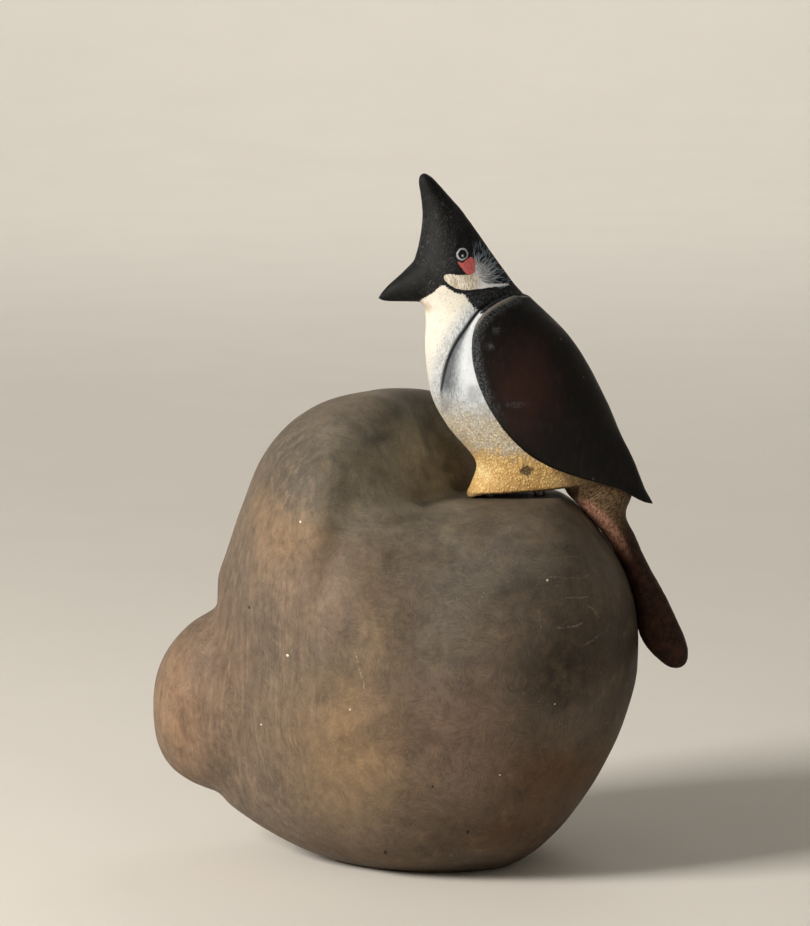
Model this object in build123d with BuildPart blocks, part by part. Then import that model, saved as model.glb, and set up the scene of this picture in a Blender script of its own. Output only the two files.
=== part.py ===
from build123d import *
from math import copysign, cos, pi, radians, sin, tan
import os

# A carved, painted wooden bird that perches on a carved boulder.
#
# The bird is one carving (head, crest, beak, breast and foot block) with two applied wings
# and a tail let in under the rump. Two steel pins, driven into the foot block, drop into
# blind holes in the boulder, so that the bird lifts straight off. The boulder stands on a
# small flat foot.
#
# Millimetres, +Z up. The bird looks along -X and its left side faces -Y. The origin is the
# middle of the whole object's footprint box, on the surface that the boulder stands on.

# ---------------------------------------------------------------- driving sizes

OUTLINE_POINTS = 16  # points of the smooth line around every carved cross-section

# Boulder: three lobes that run along X. Each row is
# x, centre y, half depth, lowest z, highest z
MAIN_POWER = 2.35  # 2 is an ellipse, more is squarer
MAIN_TIPS = ((-55.6, 4.0, 33.0), (56.4, 0.0, 56.0))
MAIN_SECTIONS = (
    (-54.0, 4.0, 10.0, 18.0, 52.0),
    (-50.5, 4.0, 16.5, 13.2, 64.0),
    (-46.0, 4.0, 23.0, 10.0, 77.0),
    (-38.0, 3.0, 32.0, 5.6, 92.0),
    (-25.0, 1.0, 40.5, 0.3, 104.0),
    (-8.0, 0.0, 46.0, -3.0, 98.5),
    (10.0, 0.0, 47.5, -3.7, 96.8),
    (25.0, 0.0, 45.5, -0.4, 97.7),
    (37.0, 0.0, 39.0, 9.2, 95.2),
    (46.0, 0.0, 30.0, 21.8, 86.6),
    (52.3, 0.0, 19.5, 36.0, 76.4),
    (55.4, 0.0, 10.0, 46.0, 66.6),
)
CROWN_POWER = 2.15
CROWN_TIPS = ((-54.6, 8.0, 60.0), (37.5, 33.0, 82.0))
CROWN_SECTIONS = (
    (-53.2, 8.0, 8.5, 48.0, 71.5),
    (-50.5, 7.5, 17.0, 35.0, 79.6),
    (-47.2, 7.0, 22.5, 29.0, 89.4),
    (-42.5, 6.5, 30.0, 24.0, 102.2),
    (-36.0, 5.5, 36.0, 20.0, 111.3),
    (-26.0, 4.5, 41.0, 19.0, 118.4),
    (-14.0, 8.5, 36.5, 21.5, 121.1),
    (0.0, 16.0, 30.0, 27.0, 121.3),
    (9.0, 22.0, 22.0, 34.0, 118.0),
    (17.0, 27.5, 15.5, 42.0, 112.0),
    (26.0, 31.0, 10.5, 52.0, 103.0),
    (33.5, 32.5, 5.5, 66.0, 93.0),
)
KNOB_POWER = 2.1
KNOB_TIPS = ((-70.3, 9.0, 36.5), (-24.0, 6.0, 38.0))
KNOB_SECTIONS = (
    (-69.4, 9.0, 6.5, 28.4, 46.0),
    (-66.5, 9.0, 12.0, 22.4, 53.0),
    (-61.0, 8.5, 17.0, 18.0, 59.4),
    (-54.0, 8.0, 20.5, 15.5, 63.5),
    (-44.0, 7.5, 23.0, 14.5, 64.5),
    (-34.0, 7.0, 19.0, 18.0, 60.0),
)

# Seat: the flat, cut across the top of the boulder, that the bird stands on. It rises a
# little towards the tail
SEAT_HEIGHT = 95.85  # under the front edge of the sole
SEAT_TILT = 1.8  # degrees
SEAT_START, SEAT_END = 10.5, 39.0
SEAT_LEFT, SEAT_RIGHT = -14.0, 9.8
SEAT_CUT = 5.0  # tall enough for what the boulder had above the seat

# Bird: level sections from the foot block up to the crest. Each row is
# z, front x, back x, half width, place of the widest point, front power, back power
BODY_SECTIONS = (
    (94.0, 11.7, 50.0, 7.6, 0.40, 2.2, 1.8),
    (97.0, 12.1, 54.4, 8.3, 0.38, 2.2, 1.8),
    (100.4, 13.8, 55.4, 9.3, 0.39, 2.1, 1.8),
    (103.6, 14.6, 54.4, 10.2, 0.41, 2.0, 1.8),
    (108.5, 11.4, 52.3, 11.6, 0.44, 1.95, 1.8),
    (114.0, 6.9, 49.8, 12.8, 0.46, 1.95, 1.85),
    (120.5, 3.3, 47.0, 13.5, 0.48, 2.0, 1.9),
    (127.5, 1.8, 43.6, 13.6, 0.48, 2.0, 1.9),
    (134.5, 1.2, 39.4, 12.9, 0.47, 2.0, 1.9),
    (140.5, 1.3, 34.4, 11.7, 0.46, 2.0, 1.9),
    (145.0, 0.8, 29.8, 10.2, 0.46, 2.0, 1.85),
    (149.0, -1.4, 25.9, 9.4, 0.48, 1.9, 1.7),
    (153.5, -2.4, 22.3, 8.9, 0.50, 1.85, 1.65),
    (158.5, -1.2, 18.7, 7.8, 0.52, 1.8, 1.65),
    (164.0, 0.1, 14.9, 6.1, 0.52, 1.8, 1.65),
    (170.0, 0.4, 10.6, 4.3, 0.50, 1.8, 1.7),
    (175.5, -0.4, 5.9, 2.7, 0.48, 1.9, 1.8),
    (178.6, -0.5, 3.0, 1.6, 0.48, 2.0, 2.0),
)
CREST_TIP = (0.9, 0.0, 179.8)

# Beak: sections across X, from inside the head out to the tip. Each row is
# x, half width, lowest z, highest z
BEAK_SECTIONS = (
    (2.0, 6.6, 146.4, 160.0),
    (-2.6, 4.4, 146.3, 156.0),
    (-6.2, 2.6, 146.2, 152.6),
    (-9.4, 1.3, 146.3, 149.6),
)
BEAK_TIP = (-11.4, 0.0, 147.0)
BEAK_POWER = 2.2

# Sole: the underside of the foot block rises towards the tail, so that the block stands on
# its front edge
SOLE_FRONT, SOLE_END = 11.4, 41.0
SOLE_HEIGHT = 95.9  # at its front edge
SOLE_TILT = 5.5  # degrees

# Wings: how far the applied slabs stand proud, and their edge, seen from the side
WING_PROUD = 1.35
WING_TOP = 160.0  # above the highest point of the wings
WING_TIP_SECTIONS = (
    (90.0, 30.0, 61.2, 8.8, 0.30, 2.0, 1.8),
    (94.0, 26.0, 60.3, 9.9, 0.33, 2.0, 1.8),
    (97.0, 20.0, 58.7, 10.6, 0.37, 2.0, 1.8),
    (100.4, 14.0, 57.3, 11.2, 0.40, 2.0, 1.8),
    (103.6, 13.0, 56.0, 11.8, 0.42, 2.0, 1.8),
)
WING_EDGE = (
    (24.0, 148.6),
    (18.6, 146.6),
    (14.7, 143.2),
    (13.1, 138.6),
    (13.1, 132.8),
    (14.8, 126.2),
    (18.4, 118.8),
    (23.8, 111.6),
    (29.4, 106.8),
    (37.0, 103.0),
    (46.0, 99.9),
    (53.0, 97.0),
    (57.0, 94.6),
    (60.2, 93.3),
)
WING_BACK = ((60.2, 93.3), (66.0, 93.3), (66.0, 146.0), (31.0, 147.4), (24.0, 148.6))
SPINE_GAP = 0.10  # between the two wings along the back
GLUE_LINE = 0.04  # between an applied piece and what it is glued to

# Tail: sections square to the run of the tail. Each row is
# front x, front z, back x, back z, thickness across Y
TAIL_SECTIONS = (
    (40.0, 102.5, 54.6, 101.5, 11.5),
    (37.6, 97.0, 55.4, 96.8, 13.4),
    (40.3, 93.8, 54.3, 93.6, 13.2),
    (43.4, 90.5, 53.5, 91.0, 12.2),
    (46.4, 86.9, 53.9, 88.7, 11.2),
    (49.2, 83.4, 55.3, 86.1, 10.4),
    (53.1, 76.1, 58.6, 78.8, 9.4),
    (56.1, 66.9, 63.2, 70.5, 9.8),
    (57.7, 57.7, 67.4, 61.6, 10.6),
    (60.7, 53.4, 69.3, 57.2, 10.0),
    (63.6, 50.8, 70.0, 53.6, 7.4),
)
TAIL_TIP = (68.0, 0.0, 49.6)
TAIL_POWER = 2.1
SEAM_START, SEAM_FALL = 36.2, 20.0  # from the end of the sole, falling back by degrees
TENON_RADIUS, TENON_LENGTH = 2.5, 8.0
TENON_PLACE = 12.0  # back along the seam
TENON_CLEARANCE = 0.05
TENON_CHAMFER = 0.5

# Pins between the foot block and the boulder
PIN_PLACES = {"pin_front": 18.0, "pin_rear": 31.0}
PIN_RADIUS = 1.5
PIN_TOP = SEAT_HEIGHT + 9.0
PIN_BOTTOM = SEAT_HEIGHT - 11.0
PIN_RUNNING_CLEARANCE = 0.08
HOLE_EXTRA_DEPTH = 1.5
PIN_CHAMFER = 0.4

CLEAR = 100.0  # a cutting tool's size where it only has to be larger than what it cuts

os.makedirs("parts", exist_ok=True)


# ---------------------------------------------------------------- outlines


def bent(value, power):
    """A cosine or sine, bent so that the ring drawn with it is squarer above power 2."""
    return copysign(abs(value) ** (2 / power), value)


def ring():
    """Evenly spaced turns of a full circle, as pairs of cosine and sine."""
    turns = [2 * pi * step / OUTLINE_POINTS for step in range(OUTLINE_POINTS)]
    return [(cos(turn), sin(turn)) for turn in turns]


def lens(half_width, half_height, power):
    """Points around a superellipse."""
    return [(half_width * bent(c, power), half_height * bent(s, power)) for c, s in ring()]


def egg(front, back, half_width, widest, front_power, back_power):
    """Points around an egg: two half superellipses that meet at the widest place."""
    middle = front + widest * (back - front)
    points = []
    for c, s in ring():
        reach, power = (back - middle, back_power) if c > 0 else (middle - front, front_power)
        points.append((middle + reach * bent(c, power), half_width * bent(s, power)))
    return points


def section(plane, points):
    """The face inside a smooth closed line through points on a plane."""
    with BuildSketch(plane, mode=Mode.PRIVATE) as outline:
        with BuildLine():
            Spline(points, periodic=True)
        make_face()
    return outline.sketch


def across_x(x, y=0.0, z=0.0):
    """A plane square to X, with its own x along Y and its own y up."""
    return Plane(origin=(x, y, z), x_dir=(0, 1, 0), z_dir=(1, 0, 0))


def lobe_faces(rows, power):
    """Sections across X from rows of x, centre y, half depth, lowest z and highest z."""
    return [
        section(across_x(x, y, (low + high) / 2), lens(half_depth, (high - low) / 2, power))
        for x, y, half_depth, low, high in rows
    ]


def level_faces(rows, grown=0.0):
    """Level sections from rows of the bird's body, grown outwards by a little."""
    return [
        section(
            Plane.XY.offset(z),
            egg(front - grown, back + grown, half_width + grown, widest, *powers),
        )
        for z, front, back, half_width, widest, *powers in rows
    ]


def tail_faces(grown=0.0):
    """Sections square to the run of the tail, grown outwards by a little."""
    faces = []
    for front_x, front_z, back_x, back_z, thickness in TAIL_SECTIONS:
        run = Vector(back_x - front_x, 0, back_z - front_z)
        plane = Plane(
            origin=((front_x + back_x) / 2, 0, (front_z + back_z) / 2),
            x_dir=run,
            z_dir=run.cross(Vector(0, 1, 0)),
        )
        faces.append(
            section(plane, lens(run.length / 2 + grown, thickness / 2 + grown, TAIL_POWER))
        )
    return faces


def sole_height(x):
    """Height of the sole at x."""
    return SOLE_HEIGHT + (x - SOLE_FRONT) * tan(radians(SOLE_TILT))


def seat_height(x):
    """Height of the seat at x."""
    return SEAT_HEIGHT + (x - SOLE_FRONT) * tan(radians(SEAT_TILT))


# ---------------------------------------------------------------- boulder

LOBES = (
    (MAIN_SECTIONS, MAIN_TIPS, MAIN_POWER),
    (CROWN_SECTIONS, CROWN_TIPS, CROWN_POWER),
    (KNOB_SECTIONS, KNOB_TIPS, KNOB_POWER),
)

with BuildPart() as boulder:
    for rows, tips, power in LOBES:
        loft([Vertex(*tips[0]), *lobe_faces(rows, power), Vertex(*tips[1])])
    # the flat foot
    with BuildSketch(Plane.XY):
        Rectangle(2 * CLEAR, 2 * CLEAR)
    extrude(amount=-CLEAR, mode=Mode.SUBTRACT)
    # the flat seat
    with BuildSketch(Plane.XZ.offset(-SEAT_RIGHT)):
        with BuildLine():
            Polyline(
                (SEAT_START, seat_height(SEAT_START)),
                (SEAT_END, seat_height(SEAT_END)),
                (SEAT_END, SEAT_HEIGHT + SEAT_CUT),
                (SEAT_START, SEAT_HEIGHT + SEAT_CUT),
                close=True,
            )
        make_face()
    extrude(amount=SEAT_RIGHT - SEAT_LEFT, mode=Mode.SUBTRACT)
    # blind holes that the pins drop into
    with BuildSketch(Plane.XY.offset(PIN_BOTTOM - HOLE_EXTRA_DEPTH)):
        with Locations(*[(x, 0) for x in PIN_PLACES.values()]):
            Circle(PIN_RADIUS + PIN_RUNNING_CLEARANCE)
    extrude(amount=SEAT_HEIGHT + SEAT_CUT - PIN_BOTTOM + HOLE_EXTRA_DEPTH, mode=Mode.SUBTRACT)
boulder.part.label = "boulder"
export_step(boulder.part, "parts/boulder.step")


# ---------------------------------------------------------------- bird

# The carving and its tail as one blank, before the seam is cut
with BuildPart() as blank:
    loft([*level_faces(BODY_SECTIONS), Vertex(*CREST_TIP)])
    beak_faces = [
        section(across_x(x, 0, (low + high) / 2), lens(half_width, (high - low) / 2, BEAK_POWER))
        for x, half_width, low, high in BEAK_SECTIONS
    ]
    loft([*beak_faces, Vertex(*BEAK_TIP)])
    # the sole
    with BuildSketch(Plane.XZ):
        with BuildLine():
            Polyline(
                (0, 0),
                (SOLE_END, 0),
                (SOLE_END, sole_height(SOLE_END)),
                (0, sole_height(0)),
                close=True,
            )
        make_face()
    extrude(amount=CLEAR, both=True, mode=Mode.SUBTRACT)
    loft([*tail_faces(), Vertex(*TAIL_TIP)])

# The seam under the rump: its own x runs back along the bird, its own y across it
seam = Plane(
    origin=(SEAM_START, 0, sole_height(SEAM_START)),
    x_dir=(cos(radians(SEAM_FALL)), 0, -sin(radians(SEAM_FALL))),
    z_dir=(sin(radians(SEAM_FALL)), 0, cos(radians(SEAM_FALL))),
)

with BuildPart() as bird_body:
    add(blank.part)
    with BuildSketch(seam):
        Rectangle(CLEAR, CLEAR, align=(Align.MIN, Align.CENTER))
    extrude(amount=-CLEAR, mode=Mode.SUBTRACT)
    # the mortise for the tail's tenon
    with BuildSketch(seam):
        with Locations((TENON_PLACE, 0)):
            Circle(TENON_RADIUS + TENON_CLEARANCE)
    extrude(amount=TENON_LENGTH + TENON_CHAMFER, mode=Mode.SUBTRACT)
    # the holes that the pins are driven into
    with BuildSketch(Plane.XY.offset(PIN_BOTTOM)):
        with Locations(*[(x, 0) for x in PIN_PLACES.values()]):
            Circle(PIN_RADIUS)
    extrude(amount=PIN_TOP - PIN_BOTTOM, mode=Mode.SUBTRACT)
bird_body.part.label = "bird_body"
export_step(bird_body.part, "parts/bird_body.step")

with BuildPart() as tail:
    add(blank.part)
    with BuildSketch(seam.offset(-GLUE_LINE)):
        Rectangle(CLEAR, CLEAR, align=(Align.MIN, Align.CENTER))
    extrude(amount=-CLEAR, mode=Mode.INTERSECT)
    with BuildSketch(seam.offset(-GLUE_LINE)):
        with Locations((TENON_PLACE, 0)):
            Circle(TENON_RADIUS)
    extrude(amount=TENON_LENGTH)
    tenon_end = tail.faces().sort_by(Axis(seam.origin, seam.z_dir))[-1]
    chamfer(tenon_end.edges(), TENON_CHAMFER)
tail.part.label = "tail"
export_step(tail.part, "parts/tail.step")

# One slab around the back, then cut in two along the spine
with BuildPart() as wing_slab:
    upper_rows = [row for row in BODY_SECTIONS if WING_TIP_SECTIONS[-1][0] < row[0] < WING_TOP]
    loft([*level_faces(WING_TIP_SECTIONS), *level_faces(upper_rows, WING_PROUD)])
    with BuildSketch(Plane.XZ):
        with BuildLine():
            Spline(WING_EDGE)
            Polyline(WING_BACK)
        make_face()
    extrude(amount=CLEAR, both=True, mode=Mode.INTERSECT)
    loft([*level_faces(BODY_SECTIONS, GLUE_LINE), Vertex(*CREST_TIP)], mode=Mode.SUBTRACT)
    loft([*tail_faces(GLUE_LINE), Vertex(*TAIL_TIP)], mode=Mode.SUBTRACT)

with BuildPart() as wing_left:
    add(wing_slab.part)
    split(bisect_by=Plane.XZ.offset(SPINE_GAP / 2), keep=Keep.TOP)
wing_left.part.label = "wing_left"
export_step(wing_left.part, "parts/wing_left.step")

with BuildPart() as wing_right:
    add(wing_slab.part)
    split(bisect_by=Plane.XZ.offset(-SPINE_GAP / 2), keep=Keep.BOTTOM)
wing_right.part.label = "wing_right"
export_step(wing_right.part, "parts/wing_right.step")

for name, x in PIN_PLACES.items():
    with BuildPart() as pin:
        with BuildSketch(Plane.XY.offset(PIN_BOTTOM)):
            with Locations((x, 0)):
                Circle(PIN_RADIUS)
        extrude(amount=PIN_TOP - PIN_BOTTOM)
        chamfer(pin.edges().sort_by(Axis.Z)[0], PIN_CHAMFER)
    pin.part.label = name
    export_step(pin.part, f"parts/{name}.step")
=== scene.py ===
"""Looks for a carved, painted wooden bird that perches on a smooth carved boulder.

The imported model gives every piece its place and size. Each solid that shows is remeshed
evenly, its creases are softened and its carved relief is added here, and then it is painted.
Lengths are in millimetres wherever a name doesn't say otherwise; Blender's are in metres.
"""

import math
from functools import partial, reduce

import bmesh
import bpy
import numpy as np
from mathutils import Matrix, Vector


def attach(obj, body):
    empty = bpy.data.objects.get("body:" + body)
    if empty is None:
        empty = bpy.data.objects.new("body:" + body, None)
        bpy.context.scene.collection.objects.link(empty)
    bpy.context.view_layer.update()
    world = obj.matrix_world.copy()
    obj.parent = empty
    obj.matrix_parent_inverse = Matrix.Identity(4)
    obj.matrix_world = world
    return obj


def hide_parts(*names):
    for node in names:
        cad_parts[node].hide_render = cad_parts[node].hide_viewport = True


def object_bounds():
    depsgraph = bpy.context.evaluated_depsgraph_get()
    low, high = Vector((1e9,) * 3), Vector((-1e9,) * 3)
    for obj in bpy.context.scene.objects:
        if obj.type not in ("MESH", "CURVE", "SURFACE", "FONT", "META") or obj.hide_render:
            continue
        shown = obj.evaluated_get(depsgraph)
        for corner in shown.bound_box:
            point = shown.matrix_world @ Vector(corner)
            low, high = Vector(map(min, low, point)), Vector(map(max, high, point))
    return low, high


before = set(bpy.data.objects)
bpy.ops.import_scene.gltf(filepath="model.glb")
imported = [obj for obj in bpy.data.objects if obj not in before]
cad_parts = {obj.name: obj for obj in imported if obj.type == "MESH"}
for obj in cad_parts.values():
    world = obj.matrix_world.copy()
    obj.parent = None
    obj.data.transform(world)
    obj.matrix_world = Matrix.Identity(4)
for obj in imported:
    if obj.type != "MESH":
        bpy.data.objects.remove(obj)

CAD_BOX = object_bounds()
MM = 0.001
SCENE = bpy.context.scene

# -------- places on the object

# The bird looks along -X, so all of its painting is laid out as seen from the side: x, z
WING_EDGE = (
    (24.0, 148.6), (18.6, 146.6), (14.7, 143.2), (13.1, 138.6), (13.1, 132.8), (14.8, 126.2),
    (18.4, 118.8), (23.8, 111.6), (29.4, 106.8), (37.0, 103.0), (46.0, 99.9), (53.0, 97.0),
    (57.0, 94.6), (60.2, 93.3),
)
ARC = (  # the carved line between the breast and the flank, from the shoulder down
    (22.6, 149.3), (18.6, 147.7), (15.0, 145.3), (11.6, 141.0), (8.6, 136.4), (6.5, 131.2),
    (5.5, 126.6), (5.3, 123.0), (6.5, 119.2),
)
LIGHT = (  # everything below the chin and the collar
    (-14, 146.2), (-0.6, 146.3), (0.6, 147.6), (2.6, 149.0), (4.0, 150.3), (5.4, 151.6),
    (6.3, 151.4), (7.6, 150.4), (9.3, 149.5), (11.4, 149.5), (12.3, 147.6), (13.9, 145.7),
    (15.2, 145.0), (22.0, 138.0), (70.0, 96.0), (70.0, 40.0), (-14, 40.0),
)
CHEEK = (
    (5.9, 153.5), (6.9, 154.4), (10.0, 154.2), (12.2, 154.3), (13.9, 154.5), (15.4, 153.0),
    (17.2, 151.8), (20.0, 151.6), (22.4, 151.4), (22.4, 150.9), (18.0, 150.8), (15.4, 150.6),
    (13.2, 150.4), (10.6, 150.4), (8.6, 151.0), (7.0, 152.0),
)
CHEEK_LINE = ((5.9, 152.7), (6.8, 151.6), (8.2, 150.6), (10.2, 149.9), (12.6, 149.9), (15.4, 150.3))
ROUGE = (
    (9.4, 157.6), (10.8, 157.3), (12.0, 158.3), (13.3, 158.6), (14.1, 157.2), (13.9, 154.9),
    (13.0, 154.3), (11.7, 154.5), (10.6, 155.9),
)
EYE = (10.7, 159.4)
KNOT = (27.3, 103.5)
FAN_ROOT = (13.1, 153.6)

SEAT_HEIGHT = 95.85  # under the front edge of the sole
SEAT_SLOPE = math.tan(math.radians(1.8))
SEAT_DROP = 0.75  # how far the painted boulder's seat lies below the model's
SEAT_END = 33.0  # how far back the seat is flat
SOLE_FRONT = 11.4
SOLE_HEIGHT = 95.9
SOLE_SLOPE = math.tan(math.radians(5.5))
TOE_DROP = 0.85  # how far the painted toe comes down below the model's
FOOT_BLOCK = ((10.9, 50.0), 8.8)  # how far it reaches along x, and to each side
PIN_XS = (18.0, 31.0)
PIN_HOLE_RADIUS = 1.58
PIN_HOLE_BOTTOM = 83.35
TENON_PLUG = ((46.7, 0, 92.0), (50.4, 0, 103.4), 3.4)  # from, to, radius: joins tail and rump
SEAM_START = (36.2, 98.29)  # where the seam between the carving and the tail leaves the sole
SEAM_FALL = math.radians(20)
PINK_BAND = (  # along the tail, from its root
    (41.0, 95.4), (44.0, 92.6), (46.7, 89.9), (49.8, 86.0), (52.2, 81.5), (54.2, 76.5),
)

# How finely each skin is remeshed, kept under 200,000 triangles
BOULDER_VOXEL = 0.80
BIRD_VOXEL = 0.36
WING_VOXEL = 0.30


# -------- shaping tools


def smoothstep(low, high, value):
    """0 below low, 1 above high and a smooth rise between; low may be the larger."""
    part = np.clip((value - low) / (high - low), 0, 1)
    return part * part * (3 - 2 * part)


def lattice_noise(points, cell, seed):
    """Smooth random values from -1 to 1 on a seeded lattice with this spacing."""
    size = 32
    table = np.random.default_rng(seed).uniform(-1, 1, (size, size, size))
    place = points / cell
    base = np.floor(place).astype(int)
    part = place - base
    part = part * part * (3 - 2 * part)
    total = np.zeros(len(points))
    for corner in np.ndindex(2, 2, 2):
        index = (base + corner) % size
        weight = np.prod(np.where(corner, part, 1 - part), axis=1)
        total += weight * table[index[:, 0], index[:, 1], index[:, 2]]
    return total


def smooth_line(points, steps=8, closed=False):
    """A Catmull-Rom curve through a few given points."""
    points = np.array(points, float)
    count = len(points)
    curve = []
    for first in range(count if closed else count - 1):
        near = [first - 1, first, first + 1, first + 2]
        near = [i % count if closed else min(max(i, 0), count - 1) for i in near]
        a, b, c, d = points[near]
        for t in np.arange(steps) / steps:
            curve.append(
                0.5 * (2 * b + (c - a) * t + (2 * a - 5 * b + 4 * c - d) * t * t
                       + (3 * b - a - 3 * c + d) * t ** 3)
            )
    if not closed:
        curve.append(points[-1])
    return np.array(curve)


def line_distance(places, line, closed=False):
    """Distance to a line, which side of it (1 or -1), and how far along it (0 to 1)."""
    ends = np.roll(line, -1, 0) if closed else line[1:]
    starts = line if closed else line[:-1]
    best = np.full(len(places), 1e9)
    side = np.ones(len(places))
    along = np.zeros(len(places))
    for number, (start, end) in enumerate(zip(starts, ends)):
        run = end - start
        away = places - start
        t = np.clip(away @ run / (run @ run), 0, 1)
        gap = np.linalg.norm(away - t[:, None] * run, axis=1)
        near = gap < best
        best[near] = gap[near]
        turn = run[0] * away[:, 1] - run[1] * away[:, 0]
        side[near] = np.where(turn[near] > 0, 1, -1)
        along[near] = (number + t[near]) / len(starts)
    return best, side, along


def region_distance(places, outline, rounded=True):
    """Signed distance to a closed outline, positive inside it."""
    outline = smooth_line(outline, steps=4 if rounded else 1, closed=True)
    inside = np.zeros(len(places), bool)
    x, z = places.T
    for (x1, z1), (x2, z2) in zip(outline, np.roll(outline, -1, 0)):
        crosses = (z1 > z) != (z2 > z)
        reach = (x2 - x1) * (z - z1) / (z2 - z1 if z2 != z1 else 1e-9) + x1
        inside ^= crosses & (x < reach)
    gap, _, _ = line_distance(places, outline, closed=True)
    return np.where(inside, gap, -gap)


def add_rod(shell, start, end, radius, segments=32):
    """A closed cylinder between two places."""
    start, end = Vector(start) * MM, Vector(end) * MM
    turn = (end - start).to_track_quat("Z", "Y").to_matrix().to_4x4()
    bmesh.ops.create_cone(
        shell, cap_ends=True, segments=segments, radius1=radius * MM, radius2=radius * MM,
        depth=(end - start).length, matrix=Matrix.Translation((start + end) / 2) @ turn,
    )


class Form:
    """CAD solids remeshed as one even skin, with its vertices at hand as an array in mm."""

    def __init__(self, name, nodes, voxel, plugs=()):
        shell = bmesh.new()
        for node in nodes:
            shell.from_mesh(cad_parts[node].data)
        bmesh.ops.remove_doubles(shell, verts=shell.verts, dist=0.002 * MM)
        for start, end, radius in plugs:
            add_rod(shell, start, end, radius)
        mesh = bpy.data.meshes.new(name)
        shell.to_mesh(mesh)
        shell.free()
        self.piece = bpy.data.objects.new(name, mesh)
        SCENE.collection.objects.link(self.piece)
        even = self.piece.modifiers.new("even", "REMESH")
        even.mode = "VOXEL"
        even.voxel_size = voxel * MM
        even.use_smooth_shade = True
        self.apply()

    def apply(self):
        """Applies the piece's modifiers and reads the mesh again."""
        graph = bpy.context.evaluated_depsgraph_get()
        self.piece.data = bpy.data.meshes.new_from_object(self.piece.evaluated_get(graph))
        self.piece.data.name = self.piece.name
        self.piece.modifiers.clear()
        mesh = self.piece.data
        self.points = np.empty(len(mesh.vertices) * 3)
        mesh.vertices.foreach_get("co", self.points)
        self.points = self.points.reshape(-1, 3) / MM
        self.edges = np.empty(len(mesh.edges) * 2, int)
        mesh.edges.foreach_get("vertices", self.edges)
        self.edges = self.edges.reshape(-1, 2)

    def write(self):
        """Puts the points back in the mesh, inside the box of the CAD model."""
        low, high = np.array(CAD_BOX) / MM
        self.points = np.clip(self.points, low, high)
        self.piece.data.vertices.foreach_set("co", (self.points * MM).ravel())
        self.piece.data.update()

    def normals(self):
        """Outward unit normals at the points."""
        self.write()
        normals = np.empty(len(self.points) * 3)
        self.piece.data.vertices.foreach_get("normal", normals)
        return normals.reshape(-1, 3)

    def relaxed(self, rounds):
        """The points after rounds of averaging with their neighbours."""
        points, strength = self.points, 0.8
        count = len(points)
        first, second = self.edges.T
        degree = np.bincount(first, minlength=count) + np.bincount(second, minlength=count)
        degree = np.maximum(degree, 1)[:, None]
        for _ in range(rounds):
            total = np.empty_like(points)
            for axis in range(3):
                column = points[:, axis]
                total[:, axis] = np.bincount(first, column[second], count)
                total[:, axis] += np.bincount(second, column[first], count)
            points = points + strength * (total / degree - points)
        return points

    def fill_creases(self, rounds, amount=1.0):
        """Raises the valleys to a much smoother surface and leaves everything else."""
        normals = self.normals()
        smoother = self.relaxed(rounds)
        rise = np.maximum(((smoother - self.points) * normals).sum(1), 0)
        self.points = self.points + normals * (rise * amount)[:, None]

    def noise(self, cell, seed):
        """Smooth random values from -1 to 1 at the points."""
        return lattice_noise(self.points, cell, seed)

    def push(self, heights):
        """Moves every point along its normal."""
        self.points = self.points + self.normals() * heights[:, None]

    def store(self, name, values):
        """Keeps a number for each point, which the material reads."""
        layer = self.piece.data.attributes.new(name, "FLOAT", "POINT")
        layer.data.foreach_set("value", np.asarray(values, np.float32))

    def store_colour(self, name, colours):
        """Keeps a linear colour for each point."""
        layer = self.piece.data.attributes.new(name, "FLOAT_COLOR", "POINT")
        whole = np.concatenate([colours, np.ones((len(colours), 1))], axis=1)
        layer.data.foreach_set("color", whole.astype(np.float32).ravel())

    def side_view(self):
        """x and z of every point."""
        return self.points[:, [0, 2]]


def hand_over(piece, node, body, material):
    """Paints a finished piece and puts it in the place of its CAD solid."""
    mesh = piece.data
    mesh.polygons.foreach_set("use_smooth", np.ones(len(mesh.polygons), bool))
    mesh.materials.clear()
    mesh.materials.append(material)
    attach(piece, body)
    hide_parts(node)


# -------- painting tools


def paint(red, green, blue):
    """A linear colour from everyday 0 to 255 values."""
    scaled = [value / 255 for value in (red, green, blue)]
    return tuple(c / 12.92 if c <= 0.04045 else ((c + 0.055) / 1.055) ** 2.4 for c in scaled) + (1,)


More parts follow.
